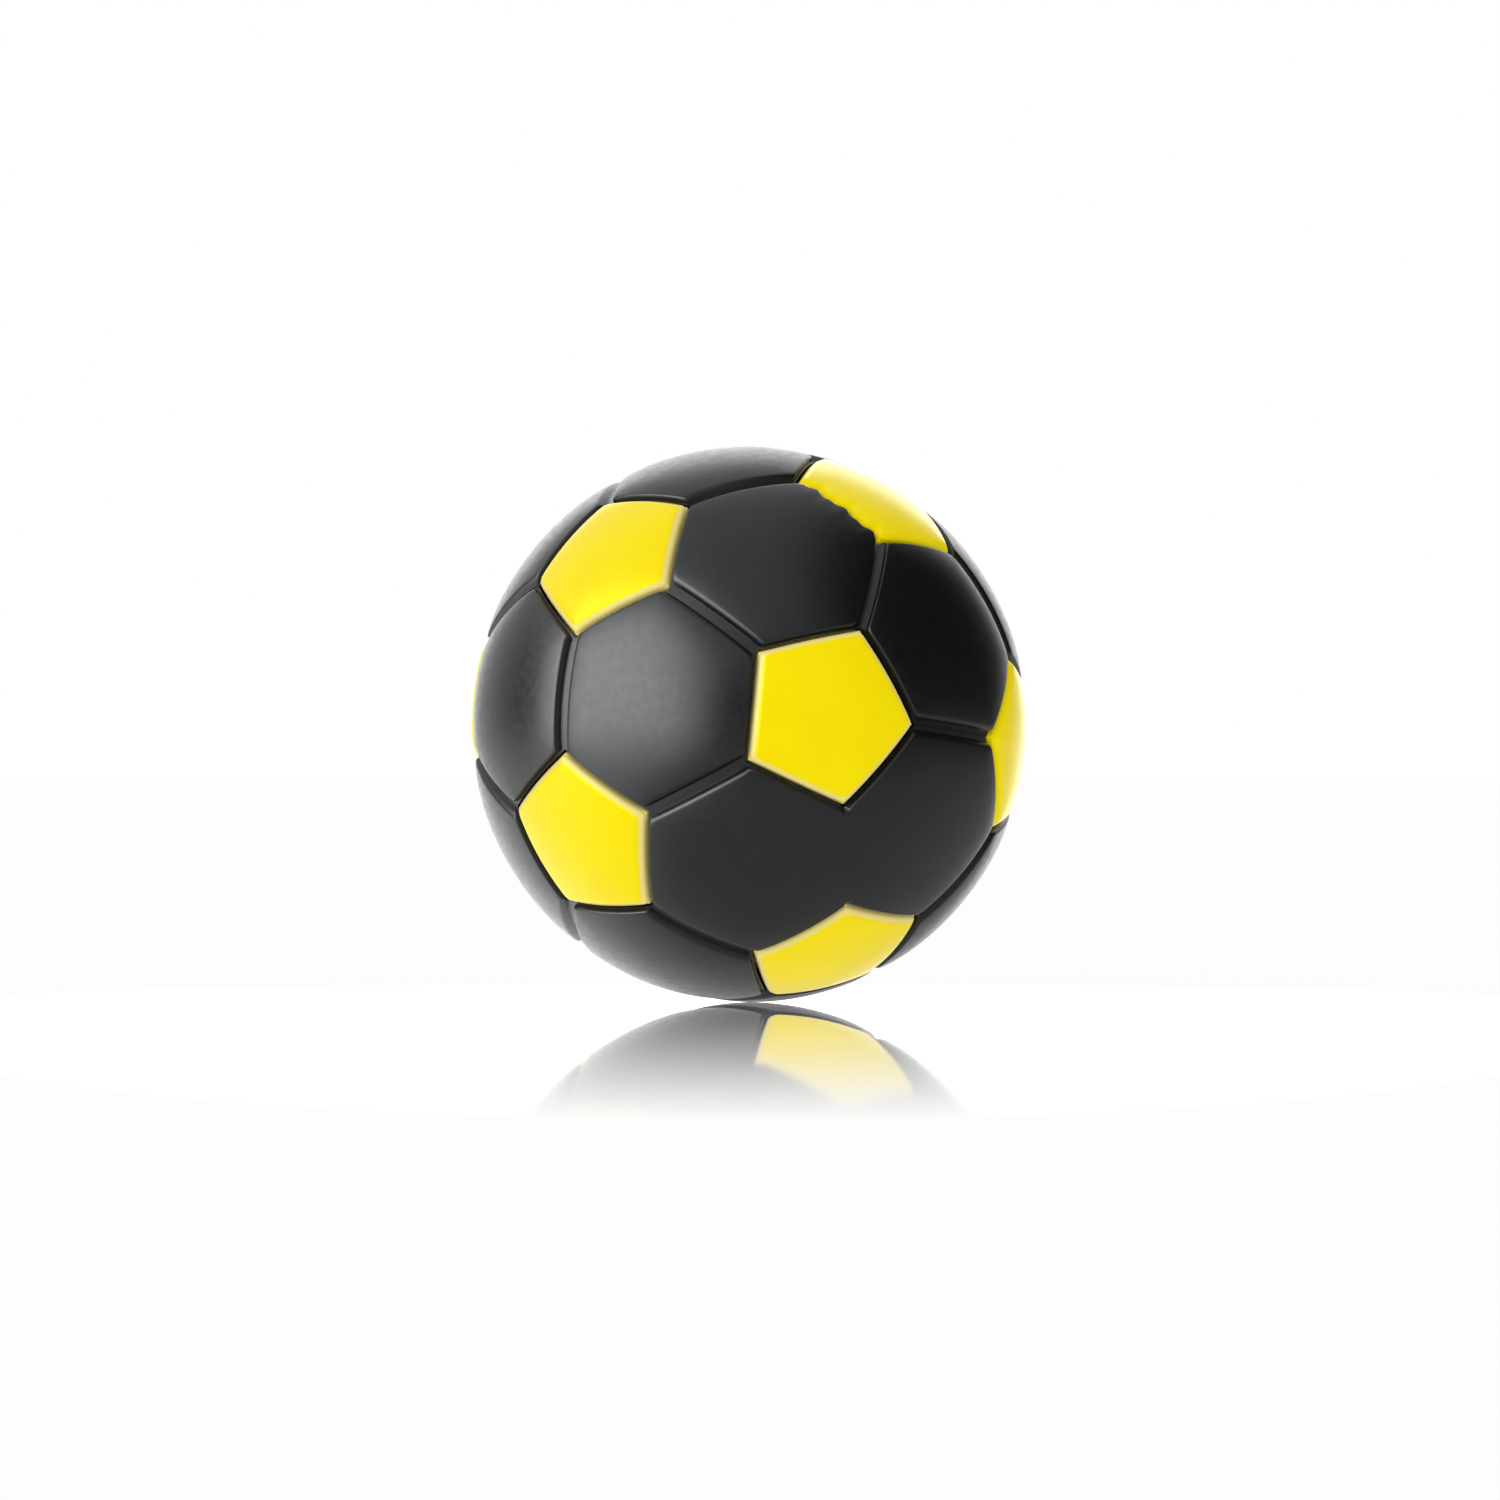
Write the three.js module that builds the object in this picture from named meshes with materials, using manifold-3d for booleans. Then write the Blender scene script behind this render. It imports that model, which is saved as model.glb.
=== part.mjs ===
// Table football ball: a black skin in two halves with engraved seams and pentagonal windows,
// twelve yellow pentagons held behind the window rims by a flange, and a solid core.
// Millimetres and degrees, +Z up, with the origin at the centre of the ball.
import * as THREE from 'three';
import Module from 'manifold-3d';

// Outside of the ball
const ballDiameter = 35;

// Seam engraved between two panels: half of its flat floor, and the shoulder that rounds up
// from the floor to the panel
const seamDepth = 0.4;
const seamFloorHalf = 0.25;
const seamShoulder = 0.3;

// Pentagon in its window: the flange sits behind the rim of the window
const pentagonGap = 0.2;
const windowRim = 1.4;
const flangeWidth = 0.8;
const flangeThickness = 1;

// Play between the two halves, along the axis that they close on, and round the core
const halvesGap = 0.4;
const coreGap = 0.3;

// How the ball lies: the axis that the halves close on, and the turn of the pattern about it
const closingAxisHeading = 47.6;
const closingAxisTilt = 64.8;
const patternTurn = -142.5;

// The two pentagons whose joining seam is left out, which makes two hexagons one panel
const blankSeamEnds = ['pentagon_front_1', 'pentagon_front_2'];

// Fineness of the facets
const stepsAlongSide = 4;
const shoulderSteps = 2;
const panelRings = 3;
const sphereRings = 13;
const pointsRoundSphere = 26;

const ballRadius = ballDiameter / 2;
const seamFloorRadius = ballRadius - seamDepth;
const seamHalf = seamFloorHalf + seamShoulder;

const pentagonSides = 5;
const pentagonStep = 2 * Math.PI / pentagonSides;
const inradiusOverCorner = Math.cos(pentagonStep / 2);

const blackPlastic = new THREE.MeshStandardMaterial({ color: 0x2b2c2e, roughness: 0.45, metalness: 0 });
const yellowPlastic = new THREE.MeshStandardMaterial({ color: 0xfee600, roughness: 0.22, metalness: 0 });
const corePlastic = new THREE.MeshStandardMaterial({ color: 0x1f2022, roughness: 0.6, metalness: 0 });

const wasm = await Module();
wasm.setup();

function toGeometry(positions, index) {
  const geometry = new THREE.BufferGeometry();
  geometry.setAttribute('position', new THREE.Float32BufferAttribute(positions, 3));
  geometry.setIndex(new THREE.Uint32BufferAttribute(index, 1));
  geometry.computeVertexNormals();
  return geometry;
}

function toSolid(geometry) {
  return new wasm.Manifold(new wasm.Mesh({
    numProp: 3,
    vertProperties: Float32Array.from(geometry.attributes.position.array),
    triVerts: Uint32Array.from(geometry.index.array)
  }));
}

function solidToGeometry(solid) {
  const mesh = solid.getMesh();
  return toGeometry(mesh.vertProperties, mesh.triVerts);
}

// A closed solid through rings of equal count, from the bottom up, each anticlockwise when
// seen from the top, with a point closing each end.
function ringSolid(bottomPoint, rings, topPoint) {
  const count = rings[0].length;
  const positions = [bottomPoint, ...rings.flat(), topPoint].flatMap(point => point.toArray());
  const topIndex = 1 + rings.length * count;
  const index = [];
  for (let i = 0; i < count; i++) {
    const next = (i + 1) % count;
    index.push(0, 1 + next, 1 + i);
    for (let ring = 0; ring < rings.length - 1; ring++) {
      const lower = 1 + ring * count;
      const upper = lower + count;
      index.push(lower + i, lower + next, upper + next);
      index.push(lower + i, upper + next, upper + i);
    }
    const last = topIndex - count;
    index.push(last + i, last + next, topIndex);
  }
  return toGeometry(positions, index);
}

function direction(latitude, longitude) {
  const level = Math.cos(latitude);
  return new THREE.Vector3(level * Math.cos(longitude), level * Math.sin(longitude), Math.sin(latitude));
}

function sphereGeometry(radius) {
  const rings = [];
  for (let ring = 1; ring <= sphereRings; ring++) {
    const latitude = Math.PI * (ring / (sphereRings + 1) - 1 / 2);
    const points = [];
    for (let i = 0; i < pointsRoundSphere; i++) {
      points.push(direction(latitude, 2 * Math.PI * i / pointsRoundSphere).multiplyScalar(radius));
    }
    rings.push(points);
  }
  return ringSolid(new THREE.Vector3(0, 0, -radius), rings, new THREE.Vector3(0, 0, radius));
}

// The pattern in its own frame, where the halves close on Z: a pentagon sits on each corner of
// an icosahedron, one on each pole and five round each half.
function layOutPentagons() {
  const ringLatitude = Math.atan(1 / 2);
  const pentagons = [
    { name: 'pentagon_front_pole', axis: direction(-Math.PI / 2, 0) },
    { name: 'pentagon_rear_pole', axis: direction(Math.PI / 2, 0) }
  ];
  for (let i = 0; i < pentagonSides; i++) {
    const rearLongitude = i * pentagonStep;
    const frontLongitude = rearLongitude + pentagonStep / 2;
    pentagons.push({ name: `pentagon_front_${i + 1}`, axis: direction(-ringLatitude, frontLongitude) });
    pentagons.push({ name: `pentagon_rear_${i + 1}`, axis: direction(ringLatitude, rearLongitude) });
  }
  return pentagons;
}

const pentagons = layOutPentagons();
const pentagonNamed = name => pentagons.find(pentagon => pentagon.name === name);

function areNeighbours(one, other) {
  const neighbourCosine = 1 / Math.sqrt(5);
  const tolerance = 0.1;
  return Math.abs(one.axis.dot(other.axis) - neighbourCosine) < tolerance;
}

// The corner of a pentagon that points at a neighbouring pentagon
function cornerOf(pentagon, neighbour) {
  const point = pentagon.axis.clone().multiplyScalar(2).add(neighbour.axis).normalize();
  return { id: `${pentagon.name} ${neighbour.name}`, point };
}

// Points on a seam from its start to its end. Both panels of a seam get the same numbers,
// whichever end they start from.
function seamPoints(start, end, fractions) {
  const reversed = start.id > end.id;
  const [first, second] = reversed ? [end, start] : [start, end];
  const points = fractions.map((fraction, step) => ({
    id: `${first.id} ${second.id} ${step}`,
    point: first.point.clone().lerp(second.point, fraction).normalize()
  }));
  points[0].id = first.id;
  points[points.length - 1].id = second.id;
  return reversed ? points.reverse() : points;
}

const evenFractions = Array.from({ length: stepsAlongSide + 1 }, (_, step) => step / stepsAlongSide);

function makeSide(start, end, isBlank) {
  const seamLength = start.point.distanceTo(end.point) * ballRadius;
  const nearEnd = seamFloorHalf / seamLength;
  const clearOfEnd = seamHalf / seamLength;
  const blankFractions = [0, nearEnd, clearOfEnd, 0.5, 1 - clearOfEnd, 1 - nearEnd, 1];
  return {
    isBlank,
    points: seamPoints(start, end, isBlank ? blankFractions : evenFractions),
    inward: start.point.clone().cross(end.point).normalize()
  };
}

function makePentagonPanel(pentagon) {
  const neighbours = pentagons.filter(other => areNeighbours(pentagon, other));
  const ahead = neighbours[0].axis.clone().projectOnPlane(pentagon.axis);
  const across = pentagon.axis.clone().cross(ahead);
  const turnOf = other => {
    const turn = Math.atan2(other.axis.dot(across), other.axis.dot(ahead));
    return (turn + pentagonStep / 2 + 2 * Math.PI) % (2 * Math.PI);
  };
  neighbours.sort((one, other) => turnOf(one) - turnOf(other));
  const corners = neighbours.map(neighbour => cornerOf(pentagon, neighbour));
  const sides = corners.map((corner, i) => makeSide(corner, corners[(i + 1) % corners.length], false));
  return { axis: pentagon.axis, corners, sides };
}

function makeHexagonPanel(trio) {
  const sides = [];
  for (let i = 0; i < 3; i++) {
    const here = trio[i];
    const next = trio[(i + 1) % 3];
    const previous = trio[(i + 2) % 3];
    const isBlank = blankSeamEnds.includes(here.name) && blankSeamEnds.includes(next.name);
    sides.push(makeSide(cornerOf(here, previous), cornerOf(here, next), false));
    sides.push(makeSide(cornerOf(here, next), cornerOf(next, here), isBlank));
  }
  const axis = trio[0].axis.clone().add(trio[1].axis).add(trio[2].axis).normalize();
  return { axis, sides };
}

// Every three pentagons that are neighbours of each other have a hexagon between them.
function makeHexagonPanels() {
  const panels = [];
  for (let i = 0; i < pentagons.length; i++) {
    for (let j = i + 1; j < pentagons.length; j++) {
      for (let k = j + 1; k < pentagons.length; k++) {
        const [one, two, three] = [pentagons[i], pentagons[j], pentagons[k]];
        if (areNeighbours(one, two) && areNeighbours(two, three) && areNeighbours(one, three)) {
          const isAnticlockwise = one.axis.clone().cross(two.axis).dot(three.axis) > 0;
          panels.push(makeHexagonPanel(isAnticlockwise ? [one, two, three] : [one, three, two]));
        }
      }
    }
  }
  return panels;
}

// Depth of the surface below the ball at a point of a panel: flat on the seam floor, then a
// quarter of an ellipse up the shoulder
function grooveDepth(panel, point) {
  const engraved = panel.sides.filter(side => !side.isBlank);
  const distance = Math.min(...engraved.map(side => ballRadius * Math.asin(side.inward.dot(point))));
  if (distance <= seamFloorHalf) return seamDepth;
  if (distance >= seamHalf) return 0;
  const toPanel = (seamHalf - distance) / seamShoulder;
  return seamDepth * (1 - Math.sqrt(1 - toPanel * toPanel));
}

// Angle at the centre of the ball from the middle of a panel to the middle of a side
function sideAngleOf(panel) {
  return Math.asin(panel.sides[0].inward.dot(panel.axis));
}

// A panel's ring at a distance in from its seams, as points on the surface
function panelRing(panel, inset) {
  const sideAngle = sideAngleOf(panel);
  const shrink = Math.tan(sideAngle - inset / ballRadius) / Math.tan(sideAngle);
  return panel.sides.flatMap(side => side.points.slice(0, -1).map(({ point }) => {
    const onPlane = point.clone().divideScalar(point.dot(panel.axis));
    const shrunk = panel.axis.clone().lerp(onPlane, shrink).normalize();
    return shrunk.multiplyScalar(ballRadius - grooveDepth(panel, shrunk));
  }));
}

// Distances of a panel's rings from its seams: up the shoulder, then across to the middle
function ringInsets(panel) {
  const insets = [];
  for (let step = 0; step <= shoulderSteps; step++) {
    insets.push(seamHalf - seamShoulder * Math.cos(Math.PI / 2 * step / shoulderSteps));
  }
  const toMiddle = ballRadius * sideAngleOf(panel);
  for (let ring = 1; ring < panelRings; ring++) {
    insets.push(seamHalf + (toMiddle - seamHalf) * ring / panelRings);
  }
  return insets;
}

// The outside of the skin with its windows not yet cut: engraved hexagons, plain pentagons
function outsideGeometry(hexagonPanels, pentagonPanels) {
  const positions = [];
  const index = [];
  const shared = new Map();
  const addPoint = point => {
    positions.push(...point.toArray());
    return positions.length / 3 - 1;
  };
  const addSeamPoint = ({ id, point }, depth) => {
    if (!shared.has(id)) shared.set(id, addPoint(point.clone().multiplyScalar(ballRadius - depth)));
    return shared.get(id);
  };
  const addPanel = (panel, insets) => {
    const seam = panel.sides.flatMap(side => side.points.slice(0, -1));
    const rings = [seam.map(seamPoint => addSeamPoint(seamPoint, grooveDepth(panel, seamPoint.point)))];
    for (const inset of insets) {
      rings.push(panelRing(panel, inset).map(addPoint));
    }
    const middle = addPoint(panel.axis.clone().multiplyScalar(ballRadius));
    for (let i = 0; i < seam.length; i++) {
      const next = (i + 1) % seam.length;
      for (let ring = 0; ring < rings.length - 1; ring++) {
        const outer = rings[ring];
        const inner = rings[ring + 1];
        index.push(outer[i], outer[next], inner[next]);
        index.push(outer[i], inner[next], inner[i]);
      }
      const last = rings[rings.length - 1];
      index.push(last[i], last[next], middle);
    }
  };
  hexagonPanels.forEach(panel => addPanel(panel, ringInsets(panel)));
  pentagonPanels.forEach(panel => addPanel(panel, []));
  return toGeometry(positions, index);
}

// Sizes of a pentagon and its window, square to the pentagon's axis. The pentagon's wall rises
// to the foot of its shoulder, so all of the seam floor is the skin's. Both walls are flat, and
// follow the curved seam at the mean of its distances at a corner and half way along.
const hexagonPanels = makeHexagonPanels();
const pentagonPanels = pentagons.map(makePentagonPanel);
const polePanel = pentagonPanels[pentagons.indexOf(pentagonNamed('pentagon_rear_pole'))];
const cornerDistance = Math.sin(polePanel.axis.angleTo(polePanel.corners[0].point)) * inradiusOverCorner;
const middleDistance = Math.sin(sideAngleOf(polePanel));
const seamInradius = seamFloorRadius * (cornerDistance + middleDistance) / 2;
const headInradius = seamInradius - seamFloorHalf;
const windowInradius = headInradius + pentagonGap;
const flangeInradius = headInradius + flangeWidth;
const rebateInradius = flangeInradius + pentagonGap;

const heightOn = (radius, offAxis) => Math.sqrt(radius * radius - offAxis * offAxis);
const rebateTop = heightOn(seamFloorRadius, windowInradius / inradiusOverCorner) - windowRim;
const flangeTop = rebateTop - pentagonGap;
const cavityRadius = Math.hypot(flangeTop - flangeThickness, flangeInradius);
const coreRadius = cavityRadius - coreGap;

// A pentagonal ring round Z, with a corner on X. heightAt gives the height at a distance
// from the axis.
function pentagonRing(inradius, stepsPerSide, heightAt) {
  const cornerAt = i => direction(0, i * pentagonStep).multiplyScalar(inradius / inradiusOverCorner);
  const points = [];
  for (let side = 0; side < pentagonSides; side++) {
    for (let step = 0; step < stepsPerSide; step++) {
      const point = cornerAt(side).lerp(cornerAt(side + 1), step / stepsPerSide);
      points.push(point.setZ(heightAt(point.length())));
    }
  }
  return points;
}

function pentagonGeometry() {
  const onCavity = offAxis => heightOn(cavityRadius, offAxis);
  const atFlangeTop = () => flangeTop;
  const rings = [
    pentagonRing(flangeInradius / 2, stepsAlongSide, onCavity),
    pentagonRing(flangeInradius, stepsAlongSide, onCavity),
    pentagonRing(flangeInradius, stepsAlongSide, atFlangeTop),
    pentagonRing(headInradius, stepsAlongSide, atFlangeTop),
    ...ringInsets(polePanel).map(inset => panelRing(polePanel, inset))
  ];
  return ringSolid(new THREE.Vector3(0, 0, cavityRadius), rings, new THREE.Vector3(0, 0, ballRadius));
}

// What a pentagon takes out of the skin: its window, and the rebate for its flange
function windowCutter() {
  const bottom = cavityRadius / 2;
  const top = ballDiameter;
  const rings = [
    pentagonRing(rebateInradius, 1, () => bottom),
    pentagonRing(rebateInradius, 1, () => rebateTop),
    pentagonRing(windowInradius, 1, () => rebateTop),
    pentagonRing(windowInradius, 1, () => top)
  ];
  return ringSolid(new THREE.Vector3(0, 0, bottom), rings, new THREE.Vector3(0, 0, top));
}

// The turn that takes the pentagon on the rear pole to another pentagon's place
function turnTo(panel) {
  const frameOf = ({ axis, corners }) => {
    const across = axis.clone().cross(corners[0].point).normalize();
    return new THREE.Matrix4().makeBasis(across.clone().cross(axis), across, axis);
  };
  const turn = frameOf(panel).multiply(frameOf(polePanel).transpose());
  return new THREE.Quaternion().setFromRotationMatrix(turn);
}

// All the space on one side of the parting line, which follows the seams between hexagons and
// crosses each window through its middle. side is 1 for the rear half and -1 for the front.
function halfRegion(side) {
  const reach = 3 * ballRadius;
  const path = [];
  for (let i = 1; i <= pentagonSides; i++) {
    const rear = pentagonNamed(`pentagon_rear_${i}`);
    const front = pentagonNamed(`pentagon_front_${i}`);
    const nextRear = pentagonNamed(`pentagon_rear_${i % pentagonSides + 1}`);
    path.push(rear.axis, cornerOf(rear, front).point, cornerOf(front, rear).point);
    path.push(front.axis, cornerOf(front, nextRear).point, cornerOf(nextRear, front).point);
  }
  const ring = path.map(point => point.clone().multiplyScalar(reach));
  const centre = new THREE.Vector3();
  const pole = new THREE.Vector3(0, 0, side * reach);
  const ends = side > 0 ? [centre, pole] : [pole, centre];
  return ringSolid(ends[0], [ring], ends[1]).translate(0, 0, side * halvesGap / 2);
}

function makeSkins() {
  const cutter = windowCutter();
  const outside = toSolid(outsideGeometry(hexagonPanels, pentagonPanels));
  let shell = outside.subtract(toSolid(sphereGeometry(cavityRadius)));
  for (const panel of pentagonPanels) {
    shell = shell.subtract(toSolid(cutter.clone().applyQuaternion(turnTo(panel))));
  }
  return {
    front: solidToGeometry(shell.intersect(toSolid(halfRegion(-1)))),
    rear: solidToGeometry(shell.intersect(toSolid(halfRegion(1))))
  };
}

function namedMesh(name, geometry, material) {
  const mesh = new THREE.Mesh(geometry, material);
  mesh.name = name;
  return mesh;
}

// The pattern's own frame, turned as the ball lies
function makeLie() {
  const turnAbout = (axis, degrees) => new THREE.Quaternion()
    .setFromAxisAngle(axis, THREE.MathUtils.degToRad(degrees));
  const vertical = new THREE.Vector3(0, 0, 1);
  const lie = new THREE.Group();
  lie.quaternion
    .multiply(turnAbout(vertical, closingAxisHeading))
    .multiply(turnAbout(new THREE.Vector3(0, 1, 0), closingAxisTilt))
    .multiply(turnAbout(vertical, patternTurn));
  return lie;
}

const ball = makeLie();
const skins = makeSkins();
ball.add(namedMesh('core', sphereGeometry(coreRadius), corePlastic));
ball.add(namedMesh('front_skin', skins.front, blackPlastic));
ball.add(namedMesh('rear_skin', skins.rear, blackPlastic));
pentagons.forEach((pentagon, i) => {
  const mesh = namedMesh(pentagon.name, pentagonGeometry(), yellowPlastic);
  mesh.quaternion.copy(turnTo(pentagonPanels[i]));
  ball.add(mesh);
});

export default ball;
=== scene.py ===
import itertools
import math

import bmesh
import bpy
import numpy as np
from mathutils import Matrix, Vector


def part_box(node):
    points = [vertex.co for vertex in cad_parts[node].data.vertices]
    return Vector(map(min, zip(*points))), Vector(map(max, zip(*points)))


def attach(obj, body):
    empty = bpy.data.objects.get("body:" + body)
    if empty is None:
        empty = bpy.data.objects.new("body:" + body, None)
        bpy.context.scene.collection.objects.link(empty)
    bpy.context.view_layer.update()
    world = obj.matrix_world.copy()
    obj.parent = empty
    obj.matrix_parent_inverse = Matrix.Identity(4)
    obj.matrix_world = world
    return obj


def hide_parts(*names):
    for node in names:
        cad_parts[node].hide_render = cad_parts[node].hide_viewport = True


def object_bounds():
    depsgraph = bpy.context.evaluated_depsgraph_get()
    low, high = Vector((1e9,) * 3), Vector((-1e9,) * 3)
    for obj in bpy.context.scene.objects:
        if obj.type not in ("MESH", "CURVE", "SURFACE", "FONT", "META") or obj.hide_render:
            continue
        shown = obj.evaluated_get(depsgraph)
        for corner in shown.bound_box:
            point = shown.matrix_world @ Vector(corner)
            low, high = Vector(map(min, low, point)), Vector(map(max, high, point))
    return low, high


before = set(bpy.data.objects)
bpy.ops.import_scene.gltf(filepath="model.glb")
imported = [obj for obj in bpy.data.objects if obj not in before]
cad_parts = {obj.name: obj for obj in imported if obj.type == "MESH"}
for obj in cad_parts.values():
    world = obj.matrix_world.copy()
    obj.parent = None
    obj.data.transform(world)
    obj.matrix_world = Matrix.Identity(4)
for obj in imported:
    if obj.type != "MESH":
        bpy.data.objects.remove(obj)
cad_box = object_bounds()

# Sizes in metres. The ball stays inside the box of the solids.
MM = 0.001
BALL_RADIUS = min(high - low for low, high in zip(*cad_box)) / 2
FLOOR_HEIGHT = cad_box[0].z

# Seam between two hexagons: half of its flat floor, and the shoulder between it and the panel
SEAM_DEPTH = 0.5 * MM
SEAM_FLOOR_HALF = 0.3 * MM
SEAM_SHOULDER = 0.4 * MM
SHOULDER_POWER = 2.2
SHOULDER_STEPS = 10

# Seam round a window: how far the skin's shoulder and the pentagon's edge stand from its middle
WINDOW_FOOT = 0.1 * MM
PENTAGON_INSET = 0.2 * MM

# A pentagon's edge: a wide chamfer that takes a share of the depth, then a steep rounded end
CHAMFER_WIDTH = 0.5 * MM
CHAMFER_SHARE = 0.6
CHAMFER_POWER = 1.2
STEEP_END_POWER = 12

# A crisp edge of the skin: the higher the power, the smaller its round
CRISP_POWER = 14

# One seam has crisp edges and a floor that leans
LEANING_SEAM = ("pentagon_front_1", "pentagon_rear_1")
LEANING_FLOOR_HALF = 0.34 * MM
SEAM_LEAN = math.tan(math.radians(29))

# Each panel is a low pillow: its last stretch before the shoulder falls away a little
PILLOW_DROP = 0.07 * MM
PILLOW_REACH = 2.2 * MM
PILLOW_POWER = 2.5

# How far the seams round off where two of them meet
CORNER_BLEND = 0.1 * MM

# Joints between the pieces
WINDOW_GAP = 0.2 * MM
PARTING_GAP = 0.016 * MM

# Rim of a window, and the flange that holds the pentagon behind it
WINDOW_RIM = 1.4 * MM
FLANGE_WIDTH = 0.8 * MM
FLANGE_PLAY = 0.2 * MM
CORE_PLAY = 0.3 * MM

# One side of one pentagon has a ragged edge, in waves: length, height and place of the first
RAGGED_PENTAGON = "pentagon_rear_1"
RAGGED_FROM = "pentagon_front_5"
RAGGED_TO = "pentagon_front_1"
RAGGED_WAVES = ((2.4 * MM, 0.13 * MM, 0.9 * MM), (1.13 * MM, 0.08 * MM, 0.3 * MM))
RAGGED_FADE = 0.7 * MM

# Two pentagons with no seam between them
BLANK_SEAM = ("pentagon_front_1", "pentagon_front_2")

# Fineness of the meshes. The panel rings lie closer together at the edge than in the middle, and
# the floor rings at shares of the way from the foot of a shoulder to the panel's edge.
SIDE_STEPS = 24
RAGGED_STEPS = 96
PANEL_RINGS = 11
RING_SPACING_POWER = 1.5
INNER_RINGS = 3
FLOOR_RINGS = (0.6, 0.2, 0)
WELD_DISTANCE = 0.0005 * MM
SHARP_ANGLE = math.radians(38)

# Search for a ring: how often it halves the way, and how far out it starts, as a share of the
# angle between a panel's axis and its sides
RING_SEARCH_STEPS = 40
RING_SEARCH_REACH = 1.4

PENTAGON_PREFIX = "pentagon_"
NEIGHBOUR_COSINE = 1 / math.sqrt(5)
NEIGHBOUR_TOLERANCE = 0.1


def unit(vector):
    return vector / np.linalg.norm(vector, axis=-1, keepdims=True)


def node_points(name):
    return np.array([vertex.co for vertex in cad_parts[name].data.vertices], float)


# The pattern, read from the frame: each pentagon's axis runs from the ball's centre through its
# middle.
axes = {name: unit(node_points(name).mean(axis=0)) for name in sorted(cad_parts)
        if name.startswith(PENTAGON_PREFIX)}
CORE_RADIUS = max(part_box("core")[1])
CAVITY_RADIUS = CORE_RADIUS + CORE_PLAY


def are_neighbours(one, other):
    return abs(axes[one] @ axes[other] - NEIGHBOUR_COSINE) < NEIGHBOUR_TOLERANCE


def half_of(name):
    return name.split("_")[1]


class Corner:
    """The corner of a pentagon that points at a neighbouring pentagon."""

    def __init__(self, pentagon, neighbour):
        self.pentagon = pentagon
        self.point = unit(2 * axes[pentagon] + axes[neighbour])


class Side:
    """An arc between two corners, with the panel on its left. kind says what it borders on:
    window between a pentagon and a hexagon, parting between the two halves of the skin, and
    seam between two hexagons of one half. The panel's edge is inset from it, the shoulder starts
    at a distance of foot from it, and profile gives the shoulder's shape. lean is the slope of
    the seam floor."""

    def __init__(self, start, end, kind, inset, foot, profile, is_blank=False, lean=0, waves=0):
        self.start, self.end, self.kind, self.inset = start, end, kind, inset
        self.foot, self.profile = foot, profile
        self.is_blank, self.lean, self.waves = is_blank, lean, waves
        self.inward = unit(np.cross(start.point, end.point))
        steps = RAGGED_STEPS if waves else SIDE_STEPS
        self.fractions = (1 - np.cos(np.linspace(0, math.pi, steps + 1))) / 2

    def offset(self, points):
        """Distance of unit vectors from the side's whole circle, positive on the panel's side."""
        distance = BALL_RADIUS * np.arcsin(np.clip(points @ self.inward, -1, 1))
        if self.waves:
            distance = distance - self.wave(points)
        return distance

    def distance(self, points):
        """Distance of unit vectors from the arc, or from its nearer end beyond it."""
        from_start = points @ np.cross(self.inward, self.start.point)
        from_end = points @ np.cross(self.end.point, self.inward)
        to_start = np.arccos(np.clip(points @ self.start.point, -1, 1))
        to_end = np.arccos(np.clip(points @ self.end.point, -1, 1))
        beyond = (from_start < 0) | (from_end < 0)
        to_ends = BALL_RADIUS * np.minimum(to_start, to_end)
        return np.where(beyond, to_ends, self.offset(points))

    def wave(self, points):
        """How far the ragged edge strays into the panel beside each point."""
        first = self.start if self.waves > 0 else self.end
        last = self.end if self.waves > 0 else self.start
        across = unit(np.cross(first.point, last.point))
        ahead = np.cross(across, first.point)
        along = BALL_RADIUS * np.arctan2(points @ ahead, points @ first.point)
        length = BALL_RADIUS * math.acos(first.point @ last.point)
        total = sum(height * np.sin(2 * math.pi * (along - place) / wave_length)
                    for wave_length, height, place in RAGGED_WAVES)
        to_ends = np.clip(np.minimum(along, length - along) / RAGGED_FADE, 0, 1)
        return self.waves * total * to_ends


class Panel:
    """A pentagon or a hexagon of the pattern, with its sides anticlockwise seen from outside.
    shoulder is the width of its shoulder."""

    def __init__(self, axis, sides, shoulder):
        self.axis, self.sides, self.shoulder = axis, sides, shoulder
        self.side_angle = math.asin(sides[0].inward @ axis)
        across = unit(np.cross(axis, sides[0].start.point))
        self.right, self.up = np.cross(across, axis), across


def sloped_profile(to_foot):
    """A bank that steepens from 0 at the top of a shoulder to 1 at its foot."""
    return to_foot ** SHOULDER_POWER


def chamfered_profile(to_foot):
    """A flat slope with a steep end, from 0 at the top of a shoulder to 1 at its foot."""
    slope = CHAMFER_SHARE * to_foot ** CHAMFER_POWER
    return slope + (1 - CHAMFER_SHARE) * to_foot ** STEEP_END_POWER


def crisp_profile(to_foot):
    """A small round that is steep at the foot, from 0 at the top of a shoulder to 1 there."""
    return to_foot ** CRISP_POWER


def waves_between(pentagon, start_towards, end_towards):
    """1 on the ragged side in the direction that its waves are counted in, -1 against it."""
    if pentagon != RAGGED_PENTAGON:
        return 0
    return {(RAGGED_FROM, RAGGED_TO): 1, (RAGGED_TO, RAGGED_FROM): -1}.get(
        (start_towards, end_towards), 0)


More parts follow.
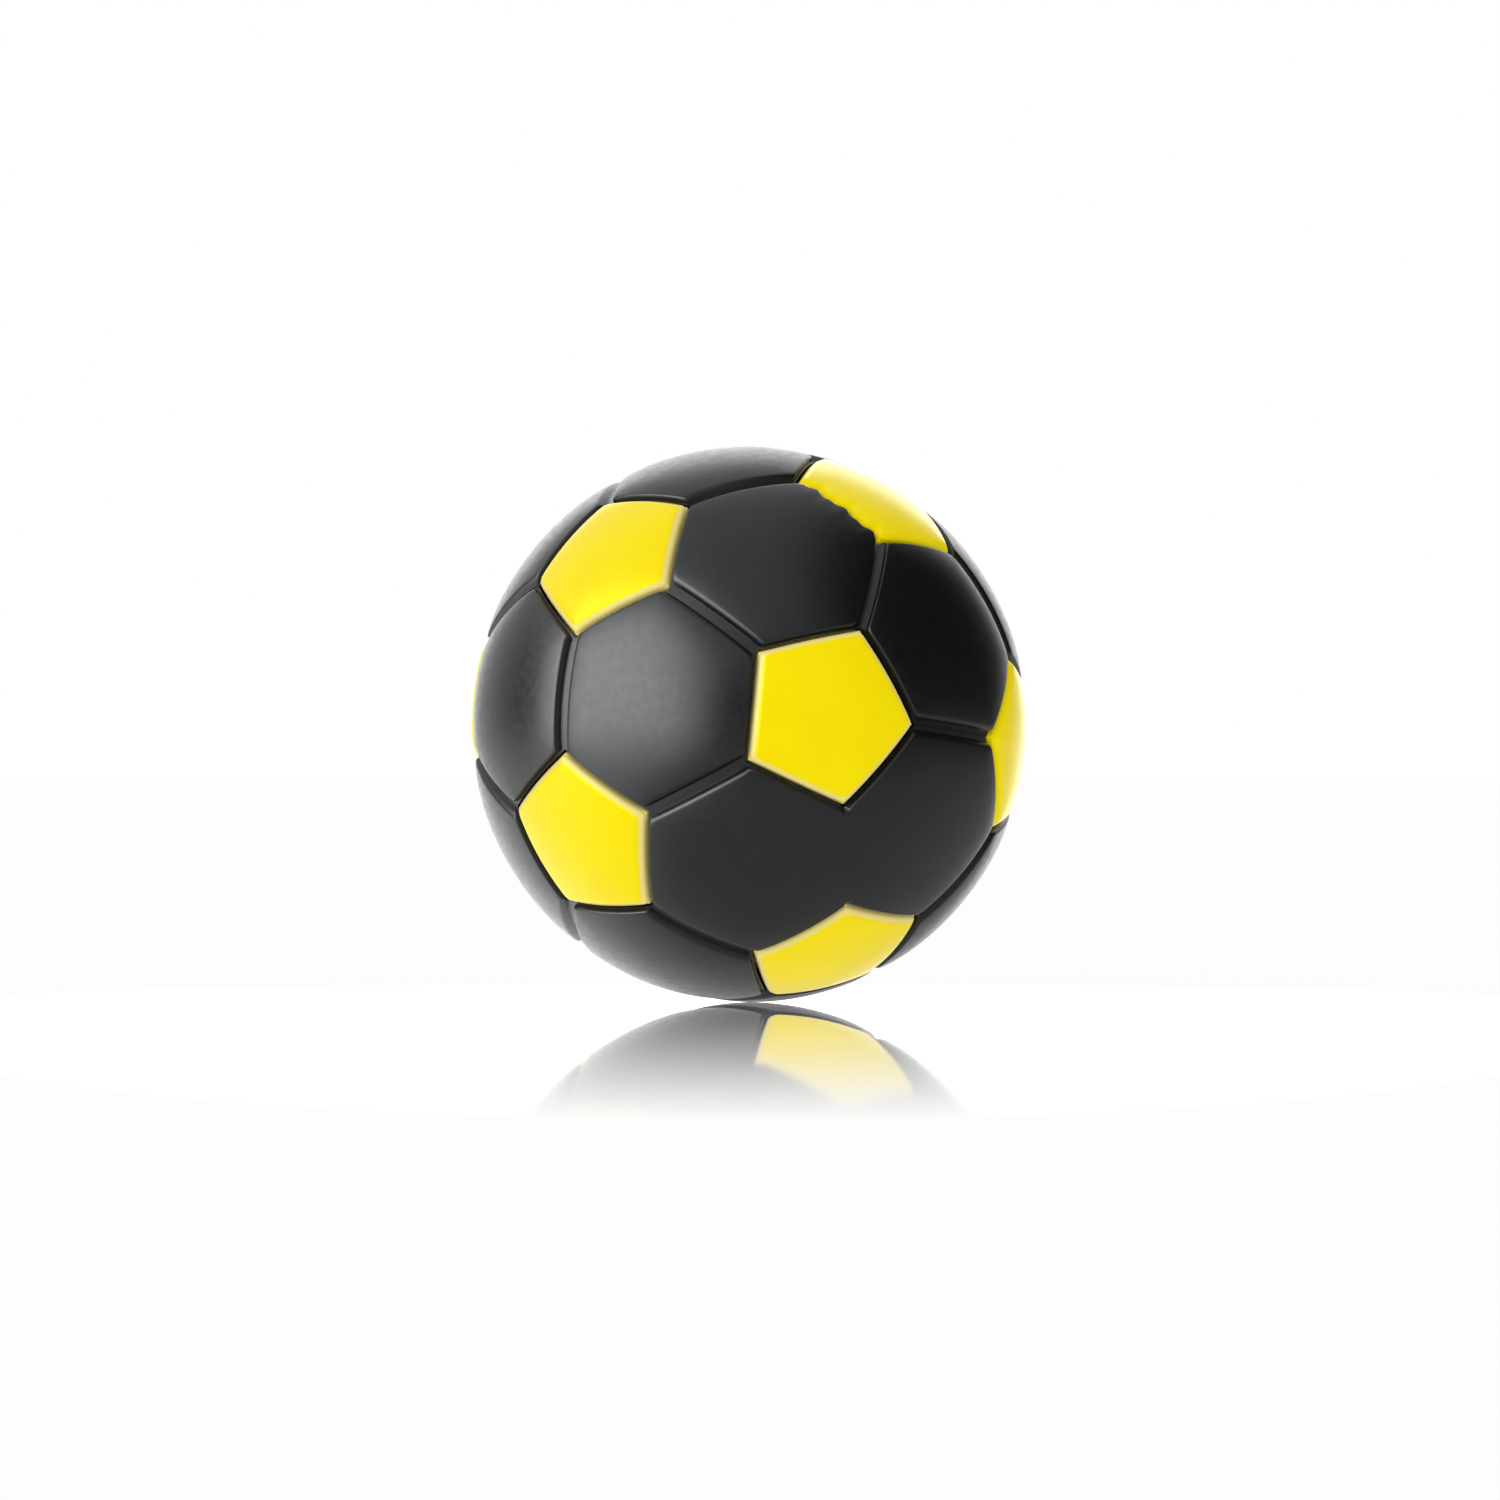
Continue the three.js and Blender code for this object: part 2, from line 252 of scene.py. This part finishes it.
def pentagon_panel(name):
    axis = axes[name]
    neighbours = [other for other in axes if are_neighbours(name, other)]
    ahead = unit(axes[neighbours[0]] - axis * (axes[neighbours[0]] @ axis))
    across = np.cross(axis, ahead)
    neighbours.sort(key=lambda other: math.atan2(axes[other] @ across, axes[other] @ ahead))
    corners = [Corner(name, other) for other in neighbours]
    sides = []
    for i, corner in enumerate(corners):
        following = (i + 1) % len(corners)
        waves = waves_between(name, neighbours[i], neighbours[following])
        sides.append(Side(corner, corners[following], "window", PENTAGON_INSET, PENTAGON_INSET,
                          chamfered_profile, waves=waves))
    return Panel(axis, sides, CHAMFER_WIDTH)


def hexagon_panel(trio, half):
    sides = []
    for i, here in enumerate(trio):
        after, before = trio[(i + 1) % 3], trio[(i + 2) % 3]
        sides.append(Side(Corner(here, before), Corner(here, after), "window",
                          WINDOW_GAP - PENTAGON_INSET, WINDOW_FOOT, crisp_profile,
                          waves=waves_between(here, before, after)))
        sides.append(seam_side(here, after, before, half))
    return Panel(unit(sum(axes[name] for name in trio)), sides, SEAM_SHOULDER)


def seam_side(here, after, before, half):
    """A hexagon's side on another hexagon, from the pentagon here to the one after it."""
    is_parting = hexagon_half(here, after, without=before) != half
    kind, inset = ("parting", PARTING_GAP / 2) if is_parting else ("seam", 0)
    foot, profile, lean = SEAM_FLOOR_HALF, sloped_profile, 0
    if here in LEANING_SEAM and after in LEANING_SEAM:
        foot, profile = LEANING_FLOOR_HALF, crisp_profile
        lean = SEAM_LEAN if half == "front" else -SEAM_LEAN
    is_blank = here in BLANK_SEAM and after in BLANK_SEAM
    return Side(Corner(here, after), Corner(after, here), kind, inset, foot, profile,
                is_blank, lean)


def half_of_trio(trio):
    """A hexagon belongs to the half that most of its pentagons belong to."""
    fronts = sum(half_of(name) == "front" for name in trio)
    return "front" if fronts > len(trio) / 2 else "rear"


def hexagon_half(one, other, without):
    """The half of the hexagon on the far side of the seam between two pentagons."""
    third = next(name for name in axes if name != without and are_neighbours(name, one)
                 and are_neighbours(name, other))
    return half_of_trio((one, other, third))


def hexagon_panels(half):
    """A hexagon lies between every three pentagons that are neighbours of each other."""
    panels = []
    for one, two, three in itertools.combinations(sorted(axes), 3):
        is_trio = (are_neighbours(one, two) and are_neighbours(two, three)
                   and are_neighbours(one, three))
        if is_trio and half_of_trio((one, two, three)) == half:
            turn = np.cross(axes[one], axes[two]) @ axes[three]
            trio = (one, two, three) if turn > 0 else (one, three, two)
            panels.append(hexagon_panel(trio, half))
    return panels


def shares_of(distances):
    """How much each of several distances counts as the least one, not yet brought to a sum of 1."""
    return np.exp((distances.min(axis=0) - distances) / CORNER_BLEND)


def blended(distances):
    """The least of several distances, rounded off where two of them are alike."""
    return distances.min(axis=0) - CORNER_BLEND * np.log(shares_of(distances).sum(axis=0))


def floor_depth(panel, points):
    """Depth of the seam floor. The lean of a leaning seam fades out between the foot of its
    shoulder and twice as far."""
    depth = np.full(len(points), SEAM_DEPTH)
    for side in panel.sides:
        if side.lean:
            distance = side.distance(points)
            depth += side.lean * distance * np.clip(2 - distance / side.foot, 0, 1)
    return depth


def depth_at(panel, points):
    """Depth of the surface below the ball: the seam floor, the shoulder, and the pillow of the
    panel."""
    engraved = [side for side in panel.sides if not side.is_blank]
    rises = np.array([side.distance(points) - side.foot for side in engraved])
    rise = blended(rises)
    to_foot = np.clip(1 - rise / panel.shoulder, 0, 1)
    profiles = np.array([side.profile(to_foot) for side in engraved])
    profile = np.average(profiles, axis=0, weights=shares_of(rises))
    shoulder = (SEAM_DEPTH - PILLOW_DROP) * profile
    inward = np.clip((rise - panel.shoulder) / PILLOW_REACH, -panel.shoulder / PILLOW_REACH, 1)
    pillow = PILLOW_DROP * (1 - inward) ** PILLOW_POWER
    floor = floor_depth(panel, points)
    return np.where(rise <= 0, floor, np.minimum(shoulder + pillow, floor))


def on_surface(panel, points):
    return points * (BALL_RADIUS - depth_at(panel, points))[:, None]


def corner_of_offsets(before, after):
    """The unit vector where the panel's edge turns: each side has moved in by its inset."""
    normals = np.array([before.inward, after.inward])
    wanted = np.sin(np.array([before.inset, after.inset]) / BALL_RADIUS)
    flat = np.linalg.solve(normals @ normals.T, wanted) @ normals
    upright = unit(np.cross(before.inward, after.inward))
    upright = upright * np.sign(upright @ after.start.point)
    return flat + upright * math.sqrt(1 - flat @ flat)


def edge_points(side, start, end):
    """Unit vectors along a panel's edge, with both its ends."""
    points = unit(start + side.fractions[:, None] * (end - start))
    if side.waves:
        points = unit(points + side.inward * (side.wave(points) / BALL_RADIUS)[:, None])
    return points


def panel_edges(panel):
    corners = [corner_of_offsets(panel.sides[i - 1], side) for i, side in enumerate(panel.sides)]
    return [edge_points(side, corners[i], corners[(i + 1) % len(corners)])
            for i, side in enumerate(panel.sides)]


def rise_inside(panel, points):
    """How far points are in from the feet of all the panel's sides, blank ones too."""
    return blended(np.array([side.offset(points) - side.foot for side in panel.sides]))


def ring_at(panel, turns, rise):
    """Unit vectors at given turns round a panel's axis, at a distance in from its feet."""
    outward = np.cos(turns)[:, None] * panel.right + np.sin(turns)[:, None] * panel.up
    near = np.zeros(len(turns))
    far = np.full(len(turns), math.tan(RING_SEARCH_REACH * panel.side_angle))
    for _ in range(RING_SEARCH_STEPS):
        middle = (near + far) / 2
        points = unit(panel.axis + middle[:, None] * outward)
        is_inside = rise_inside(panel, points) > rise
        near, far = np.where(is_inside, middle, near), np.where(is_inside, far, middle)
    return unit(panel.axis + near[:, None] * outward)


def ring_rises(panel):
    """Distances of the rings from the feet: on the seam floor, up the shoulder, to the middle."""
    floor_reach = min(side.foot - side.inset for side in panel.sides)
    rises = [-share * floor_reach for share in FLOOR_RINGS] if floor_reach > 0 else []
    for step in range(1, SHOULDER_STEPS + 1):
        rises.append(panel.shoulder * (1 - math.cos(math.pi / 2 * step / SHOULDER_STEPS)))
    to_middle = rise_inside(panel, panel.axis[None, :])[0] - panel.shoulder
    for ring in range(1, PANEL_RINGS):
        rises.append(panel.shoulder + to_middle * (ring / PANEL_RINGS) ** RING_SPACING_POWER)
    return rises


class MeshMaker:
    """Collects points and faces, and welds the points that fall together."""

    def __init__(self):
        self.points, self.faces, self.count = [], [], 0

    def add(self, points):
        points = np.atleast_2d(points)
        self.points.append(points)
        self.count += len(points)
        return np.arange(self.count - len(points), self.count)

    def strip(self, upper, lower, closed=False):
        """Quads between two rows of points, of which the upper lies anticlockwise."""
        last = len(upper) if closed else len(upper) - 1
        for i in range(last):
            following = (i + 1) % len(upper)
            self.faces.append((lower[i], lower[following], upper[following], upper[i]))

    def fan(self, row, middle):
        for i in range(len(row)):
            self.faces.append((row[i], row[(i + 1) % len(row)], middle))

    def build(self, name):
        mesh = bpy.data.meshes.new(name)
        points = np.vstack(self.points)
        mesh.from_pydata(points.tolist(), [], [tuple(int(i) for i in face) for face in self.faces])
        work = bmesh.new()
        work.from_mesh(mesh)
        bmesh.ops.remove_doubles(work, verts=work.verts, dist=WELD_DISTANCE)
        bmesh.ops.recalc_face_normals(work, faces=work.faces)
        work.to_mesh(mesh)
        work.free()
        mesh.polygons.foreach_set("use_smooth", [True] * len(mesh.polygons))
        mesh.set_sharp_from_angle(angle=SHARP_ANGLE)
        piece = bpy.data.objects.new(name, mesh)
        bpy.context.scene.collection.objects.link(piece)
        return piece


def add_outside(maker, panel, edges):
    """The engraved and pillowed outside of a panel, out to its edge."""
    edge = np.vstack([points[:-1] for points in edges])
    turns = np.arctan2(edge @ panel.up, edge @ panel.right)
    rows = [maker.add(on_surface(panel, edge))]
    for rise in ring_rises(panel):
        rows.append(maker.add(on_surface(panel, ring_at(panel, turns, rise))))
    for outer, inner in zip(rows, rows[1:]):
        maker.strip(inner, outer, closed=True)
    middle = maker.add(on_surface(panel, panel.axis[None, :]))[0]
    maker.fan(rows[-1], middle)


def at_height(points, axis, height):
    """The points moved along an axis to a height above the ball's centre."""
    return points + axis * (height - points @ axis)[:, None]


def widened(points, axis, width):
    """The points moved straight out from an axis."""
    off_axis = points - axis * (points @ axis)[:, None]
    return points + unit(off_axis) * width


def on_cavity(points, axis):
    """The points moved along an axis to the sphere inside the skin."""
    off_axis = points - axis * (points @ axis)[:, None]
    height = np.sqrt(CAVITY_RADIUS ** 2 - (off_axis ** 2).sum(axis=1))
    return off_axis + axis * height[:, None]


def rebate_height():
    """Height of a rebate above the ball's centre: the rim is measured down from a window's
    corner."""
    pentagon = pentagon_panel(min(axes))
    corner_cosine = pentagon.axis @ pentagon.sides[0].start.point
    return (BALL_RADIUS - SEAM_DEPTH) * corner_cosine - WINDOW_RIM


REBATE_TOP = rebate_height()
FLANGE_TOP = REBATE_TOP - FLANGE_PLAY


def window_walls(points, axis):
    """Rows of points down the inside of a window: its rim, the rebate behind it, the cavity."""
    rim = at_height(points, axis, REBATE_TOP)
    rebate = widened(rim, axis, FLANGE_WIDTH + FLANGE_PLAY)
    return [rim, rebate, on_cavity(rebate, axis)]


def add_hexagon(maker, panel):
    """A hexagon of the skin: its outside and inside, with the walls of its windows and of its
    parting sides between them."""
    edges = panel_edges(panel)
    add_outside(maker, panel, edges)
    inner_edge = []
    for i, side in enumerate(panel.sides):
        edge = on_surface(panel, edges[i])
        if side.kind == "window":
            rows = window_walls(edge, axes[side.start.pentagon])
            numbers = [maker.add(row) for row in [edge, *rows]]
            for upper, lower in zip(numbers, numbers[1:]):
                maker.strip(upper, lower)
            inner_edge.append(rows[-1])
        else:
            start_rows = window_walls(edge[:1], axes[side.start.pentagon])
            end_rows = window_walls(edge[-1:], axes[side.end.pentagon])
            start, end = start_rows[-1][0], end_rows[-1][0]
            inner = unit(start + side.fractions[:, None] * (end - start)) * CAVITY_RADIUS
            inner_edge.append(inner)
            if side.kind == "parting":
                add_parting_wall(maker, edge, end_rows, inner, start_rows)
    add_inside(maker, panel, np.vstack([points[:-1] for points in inner_edge]))


def add_parting_wall(maker, edge, end_rows, inner, start_rows):
    """The flat wall where the two halves meet, as one face from window to window."""
    down = [row[0] for row in end_rows[:-1]]
    up = [row[0] for row in start_rows[-2::-1]]
    numbers = maker.add(np.vstack([edge, down, inner[::-1], up]))
    maker.faces.append(tuple(numbers))


def add_inside(maker, panel, edge):
    """The inside of the skin behind a panel, on the sphere of the cavity."""
    rows = [maker.add(edge)]
    onto_plane = unit(edge) / (unit(edge) @ panel.axis)[:, None]
    for ring in range(1, INNER_RINGS):
        share = ring / INNER_RINGS
        rows.append(maker.add(unit(onto_plane + share * (panel.axis - onto_plane)) * CAVITY_RADIUS))
    for outer, inner in zip(rows, rows[1:]):
        maker.strip(outer, inner, closed=True)
    maker.fan(rows[-1], maker.add(panel.axis * CAVITY_RADIUS)[0])


def make_skin(half):
    """Half of the skin, from all its hexagons."""
    maker = MeshMaker()
    for panel in hexagon_panels(half):
        add_hexagon(maker, panel)
    finish_piece(maker, f"{half}_skin", black_plastic)


def make_pentagon(name):
    """The pentagon from its crown down: outside, walls, flange, and the face on the core."""
    maker = MeshMaker()
    panel = pentagon_panel(name)
    edges = panel_edges(panel)
    add_outside(maker, panel, edges)
    edge = on_surface(panel, np.vstack([points[:-1] for points in edges]))
    neck = at_height(edge, panel.axis, FLANGE_TOP)
    flange = widened(neck, panel.axis, FLANGE_WIDTH)
    foot = on_cavity(flange, panel.axis)
    inner_foot = on_cavity((foot + panel.axis * CAVITY_RADIUS) / 2, panel.axis)
    numbers = [maker.add(row) for row in [edge, neck, flange, foot, inner_foot]]
    for upper, lower in zip(numbers, numbers[1:]):
        maker.strip(upper, lower, closed=True)
    maker.fan(numbers[-1], maker.add(panel.axis * CAVITY_RADIUS)[0])
    # The pentagons of one half get paler chamfers, a painted highlight.
    yellow = highlight_edged_yellow if half_of(name) == HIGHLIGHT_EDGED_HALF else plain_yellow
    finish_piece(maker, name, yellow)


def finish_piece(maker, node, material):
    """The visible piece that stands for a solid of the frame."""
    piece = maker.build(f"{node}_moulding")
    piece.data.materials.append(material)
    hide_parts(node)
    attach(piece, "root")


class Nodes:
    """A short way to add shader nodes and join them."""

    def __init__(self, owner):
        owner.use_nodes = True
        self.tree = owner.node_tree
        self.tree.nodes.clear()

    def add(self, kind, **settings):
        node = self.tree.nodes.new(kind)
        for name, value in settings.items():
            setattr(node, name, value)
        return node

    def link(self, output, target):
        self.tree.links.new(output, target)

    def fill(self, target, value):
        if isinstance(value, bpy.types.NodeSocket):
            self.link(value, target)
        else:
            target.default_value = value

    def math(self, operation, *values, clamp=False):
        node = self.add("ShaderNodeMath", operation=operation, use_clamp=clamp)
        for target, value in zip(node.inputs, values):
            self.fill(target, value)
        return node.outputs[0]

    def vector_math(self, operation, *values, output=0):
        node = self.add("ShaderNodeVectorMath", operation=operation)
        for target, value in zip(node.inputs, values):
            self.fill(target, value)
        return node.outputs[output]

    def between(self, value, low, high, to_low=0.0, to_high=1.0, smooth=True):
        """value carried from low..high to to_low..to_high, held at both ends."""
        kind = "SMOOTHSTEP" if smooth else "LINEAR"
        node = self.add("ShaderNodeMapRange", interpolation_type=kind)
        for target, number in zip(node.inputs, (value, low, high, to_low, to_high)):
            self.fill(target, number)
        return node.outputs[0]

    def noise(self, size, detail):
        """Noise of a grain size in metres, about 0.5, fixed to the ball."""
        place = self.add("ShaderNodeTexCoord").outputs["Object"]
        node = self.add("ShaderNodeTexNoise")
        self.fill(node.inputs["Vector"], place)
        node.inputs["Scale"].default_value = 1 / size
        node.inputs["Detail"].default_value = detail
        return node.outputs["Fac"]

    def mix_value(self, share, one, other):
        node = self.add("ShaderNodeMix", data_type="FLOAT")
        values = [socket for socket in node.inputs if socket.type == "VALUE"]
        for target, value in zip(values, (share, one, other)):
            self.fill(target, value)
        return next(socket for socket in node.outputs if socket.type == "VALUE")

    def mix_colour(self, share, one, other):
        node = self.add("ShaderNodeMix", data_type="RGBA")
        colours = [socket for socket in node.inputs if socket.type == "RGBA"]
        self.fill(node.inputs[0], share)
        self.fill(colours[0], one)
        self.fill(colours[1], other)
        return next(socket for socket in node.outputs if socket.type == "RGBA")

    def mix_shader(self, share, one, other):
        node = self.add("ShaderNodeMixShader")
        self.fill(node.inputs[0], share)
        self.link(one, node.inputs[1])
        self.link(other, node.inputs[2])
        return node.outputs[0]

    def bump(self, height, depth):
        node = self.add("ShaderNodeBump")
        node.inputs["Distance"].default_value = depth
        self.link(height, node.inputs["Height"])
        return node.outputs[0]

    def surface(self, shader, kind="ShaderNodeOutputMaterial"):
        self.link(shader, self.add(kind).inputs["Surface"])


def make_plastic(name, colour, darker, roughness, grain_size, grain_depth, mottle_size,
                 gloss_tint=(1, 1, 1), highlight_colour=None):
    """Moulded plastic: a fine grain, and a slight unevenness of colour and gloss. What lies
    below the panels' surface can turn to another colour: a painted highlight on the chamfers."""
    material = bpy.data.materials.new(name)
    nodes = Nodes(material)
    shader = nodes.add("ShaderNodeBsdfPrincipled")
    mottle = nodes.between(nodes.noise(mottle_size, MOTTLE_DETAIL), *NOISE_RANGE)
    body = nodes.mix_colour(mottle, (*darker, 1), (*colour, 1))
    if highlight_colour:
        place = nodes.add("ShaderNodeTexCoord").outputs["Object"]
        from_centre = nodes.vector_math("LENGTH", place, output="Value")
        depth = nodes.math("SUBTRACT", BALL_RADIUS, from_centre)
        # Painted highlight: the paler colour just below the surface, on the chamfers.
        highlight_share = nodes.between(depth, *HIGHLIGHT_DEPTHS)
        body = nodes.mix_colour(highlight_share, body, (*highlight_colour, 1))
    nodes.link(body, shader.inputs["Base Color"])
    gloss_noise = nodes.noise(mottle_size / GLOSS_MOTTLE_FINENESS, GLOSS_MOTTLE_DETAIL)
    nodes.link(nodes.between(gloss_noise, *NOISE_RANGE, *roughness), shader.inputs["Roughness"])
    grain = nodes.bump(nodes.noise(grain_size, GRAIN_DETAIL), grain_depth)
    nodes.link(grain, shader.inputs["Normal"])
    shader.inputs["Specular Tint"].default_value = (*gloss_tint, 1)
    nodes.surface(shader.outputs[0])
    return material


# Painted highlight: the pentagons of one half are paler on their chamfers, a colour that stands
# in for the soft box's reflection there. The paler colour comes in between these depths.
HIGHLIGHT_EDGED_HALF = "front"
HIGHLIGHT_DEPTHS = (0.09 * MM, 0.2 * MM)

# Unevenness of the finishes: the part of the noise in use, its detail, and how much finer the
# mottle of the gloss is than that of the colour
NOISE_RANGE = (0.3, 0.7)
MOTTLE_DETAIL = 4
GLOSS_MOTTLE_DETAIL = 2
GRAIN_DETAIL = 3
GLOSS_MOTTLE_FINENESS = 3

WHITE = (1, 1, 1, 1)

# Finishes
black_plastic = make_plastic(
    "black_plastic", colour=(0.0048, 0.005, 0.0055), darker=(0.0036, 0.0038, 0.0042),
    roughness=(0.3, 0.36), grain_size=0.12 * MM, grain_depth=0.0012 * MM, mottle_size=1.5 * MM,
    gloss_tint=(0.95, 0.97, 1.0))
YELLOW = dict(
    colour=(0.98, 0.79, 0.002), darker=(0.96, 0.76, 0.001), roughness=(0.22, 0.26),
    grain_size=0.3 * MM, grain_depth=0.0006 * MM, mottle_size=3 * MM,
    gloss_tint=(1.0, 0.93, 0.06))
plain_yellow = make_plastic("yellow_plastic", **YELLOW)
# Painted highlight: the paler colour on the chamfers stands in for the soft box's reflection.
highlight_edged_yellow = make_plastic("yellow_plastic_painted_highlight", highlight_colour=(0.95, 0.8, 0.27),
                                 **YELLOW)
core_plastic = make_plastic(
    "core_plastic", colour=(0.02, 0.02, 0.022), darker=(0.015, 0.015, 0.017),
    roughness=(0.5, 0.6), grain_size=0.2 * MM, grain_depth=0.003 * MM, mottle_size=2 * MM)


def finish_core():
    """The core is shown as it is in the frame, with its finish."""
    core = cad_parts["core"]
    core.data.materials.clear()
    core.data.materials.append(core_plastic)


# The camera: level with the ball's centre, with a long lens
CAMERA_DISTANCE = 30 * BALL_RADIUS
LENS = 200
SENSOR = 36
IMAGE_SIDE = 1500
BALL_CENTRE_IN_IMAGE = (749, 724.5)

# Light that falls on matt surfaces: its level, and how much it gains towards one side
ROOM_LIGHT = 0.86
ROOM_LIGHT_GAIN = 0.34
ROOM_LIGHT_FROM = (-0.83, -0.55, 0.09)

# What gloss reflects, by direction: brightness, middle of the patch, and the angles from its
# middle between which it fades out. There is an overexposed backdrop behind the ball, a dim
# space round the camera, a dark flag to the right, the upper and the lower half of a tall soft
# box to the left, and a gap behind it.
ROOM_BRIGHTNESS = 0.82
ROOM_PATCHES = (
    (2.4, (0.0, 0.97, 0.22), 16, 34),
    (0.22, (0.05, -1.0, -0.04), 8, 35),
    (0.0, (0.9, 0.02, 0.33), 38, 64),
    (6.6, (-0.87, -0.49, 0.22), 19, 45),
    (7.0, (-0.86, -0.5, -0.2), 21, 48),
    (0.25, (-0.95, 0.3, 0.12), 6, 24),
)

# The table: a sheet, matt white with a share of its own light
FLOOR_SIDE = 4.0
FLOOR_WHITE_SHARE = 0.85

# In gloss the sheet is brighter behind the ball and to its left than in front of it
FLOOR_BACK = (-0.7, 0.7, 0.0)
FLOOR_BACK_PLACES = (-10 * MM, 14 * MM)
FLOOR_LEVELS_IN_GLOSS = (0.56, 2.1)

# Its polish mirrors the ball, best at a glancing angle. The camera sees less of the polish, and
# a more blurred image in it, as the distance from the ball's foot grows. Distances to the sides
# and behind count several times over, so the polish reaches farthest towards the camera.
FLOOR_IOR = 1.5
FLOOR_GLANCING_GAIN = 1.25
FLOOR_MIRROR_REACH = 157 * MM
FLOOR_MIRROR_POWER = 1.5
FLOOR_MIRROR_BLUR = (0.01, 0.045)
FLOOR_MIRROR_NARROWING = (3, 1, 0)
FLOOR_MIRROR_NARROWING_BEHIND = (0, 3, 0)


def make_camera():
    """The camera, turned so that the ball's centre falls where the photograph has it."""
    camera = bpy.data.objects.new("camera", bpy.data.cameras.new("camera"))
    bpy.context.scene.collection.objects.link(camera)
    camera.data.lens = LENS
    camera.data.sensor_width = SENSOR
    camera.data.clip_start = BALL_RADIUS
    camera.location = (0, -CAMERA_DISTANCE, 0)
    pixels_to_angle = SENSOR / LENS / IMAGE_SIDE
    right = (IMAGE_SIDE / 2 - BALL_CENTRE_IN_IMAGE[0]) * pixels_to_angle
    down = (IMAGE_SIDE / 2 - BALL_CENTRE_IN_IMAGE[1]) * pixels_to_angle
    camera.rotation_euler = (math.pi / 2 - down, 0, -right)
    bpy.context.scene.camera = camera


def make_room():
    """The light of the room. What the camera sees of it is plain white."""
    world = bpy.data.worlds.new("room")
    bpy.context.scene.world = world
    nodes = Nodes(world)
    direction = nodes.vector_math("NORMALIZE", nodes.add("ShaderNodeTexCoord").outputs["Generated"])
    reflected = ROOM_BRIGHTNESS
    for level, middle, full, gone in ROOM_PATCHES:
        towards = tuple(Vector(middle).normalized())
        cosine = nodes.vector_math("DOT_PRODUCT", direction, towards, output="Value")
        share = nodes.between(cosine, math.cos(math.radians(gone)), math.cos(math.radians(full)))
        reflected = nodes.mix_value(share, reflected, level)
    light_from = tuple(Vector(ROOM_LIGHT_FROM).normalized())
    sideways = nodes.vector_math("DOT_PRODUCT", direction, light_from, output="Value")
    fallen = nodes.math("ADD", nodes.math("MULTIPLY", sideways, ROOM_LIGHT_GAIN), ROOM_LIGHT)
    path = nodes.add("ShaderNodeLightPath").outputs
    light = nodes.add("ShaderNodeBackground")
    light.inputs["Color"].default_value = WHITE
    nodes.link(nodes.mix_value(path["Is Glossy Ray"], fallen, reflected), light.inputs["Strength"])
    white = nodes.add("ShaderNodeBackground")
    white.inputs["Color"].default_value = WHITE
    nodes.surface(nodes.mix_shader(path["Is Camera Ray"], light.outputs[0], white.outputs[0]),
                  "ShaderNodeOutputWorld")


def sheet_shader(nodes, place, path):
    """The sheet without its polish."""
    matt = nodes.add("ShaderNodeBsdfDiffuse")
    matt.inputs["Color"].default_value = WHITE
    glow = nodes.add("ShaderNodeEmission")
    behind = nodes.vector_math("DOT_PRODUCT", place, FLOOR_BACK, output="Value")
    in_gloss = nodes.between(behind, *FLOOR_BACK_PLACES, *FLOOR_LEVELS_IN_GLOSS)
    nodes.link(nodes.mix_value(path["Is Glossy Ray"], 1.0, in_gloss), glow.inputs["Strength"])
    return nodes.mix_shader(FLOOR_WHITE_SHARE, matt.outputs[0], glow.outputs[0])


def polish_shader(nodes, from_foot):
    """The mirror on the sheet."""
    mirror = nodes.add("ShaderNodeBsdfAnisotropic")
    mirror.inputs["Color"].default_value = WHITE
    blur = nodes.between(from_foot, 0.0, FLOOR_MIRROR_REACH, *FLOOR_MIRROR_BLUR, smooth=False)
    nodes.link(blur, mirror.inputs["Roughness"])
    return mirror.outputs[0]


def polish_share(nodes, from_foot, path):
    """How much of the polish there is: less and less away from the ball's foot for the camera,
    and what an even polish has for gloss."""
    reach = nodes.between(from_foot, 0.0, FLOOR_MIRROR_REACH, smooth=False)
    left = nodes.math("SUBTRACT", 1.0, nodes.math("POWER", reach, FLOOR_MIRROR_POWER))
    glancing = nodes.add("ShaderNodeFresnel")
    glancing.inputs["IOR"].default_value = FLOOR_IOR
    gained = nodes.math("MULTIPLY", glancing.outputs[0], FLOOR_GLANCING_GAIN, clamp=True)
    seen = nodes.math("MULTIPLY", nodes.math("MULTIPLY", left, gained), path["Is Camera Ray"])
    return nodes.mix_value(path["Is Glossy Ray"], seen, glancing.outputs[0])


def make_floor():
    """The table, in which the mirror image of the ball fades out towards the camera."""
    mesh = bpy.data.meshes.new("floor")
    half = FLOOR_SIDE / 2
    corners = [(-half, -half), (half, -half), (half, half), (-half, half)]
    mesh.from_pydata([(x, y, FLOOR_HEIGHT) for x, y in corners], [], [(0, 1, 2, 3)])
    floor = bpy.data.objects.new("floor", mesh)
    bpy.context.scene.collection.objects.link(floor)
    material = bpy.data.materials.new("floor_white")
    nodes = Nodes(material)
    path = nodes.add("ShaderNodeLightPath").outputs
    place = nodes.add("ShaderNodeTexCoord").outputs["Object"]
    across = nodes.vector_math("MULTIPLY", place, FLOOR_MIRROR_NARROWING)
    rear = nodes.vector_math("MAXIMUM", place, (0, 0, 0))
    rear = nodes.vector_math("MULTIPLY", rear, FLOOR_MIRROR_NARROWING_BEHIND)
    from_foot = nodes.vector_math("LENGTH", nodes.vector_math("ADD", across, rear),
                                  output="Value")
    sheet = sheet_shader(nodes, place, path)
    polish = polish_shader(nodes, from_foot)
    nodes.surface(nodes.mix_shader(polish_share(nodes, from_foot, path), sheet, polish))
    mesh.materials.append(material)


make_camera()
make_room()
make_floor()
finish_core()
for skin_half in ("front", "rear"):
    make_skin(skin_half)
for pentagon_name in sorted(axes):
    make_pentagon(pentagon_name)

bpy.context.scene.view_settings.view_transform = "Standard"
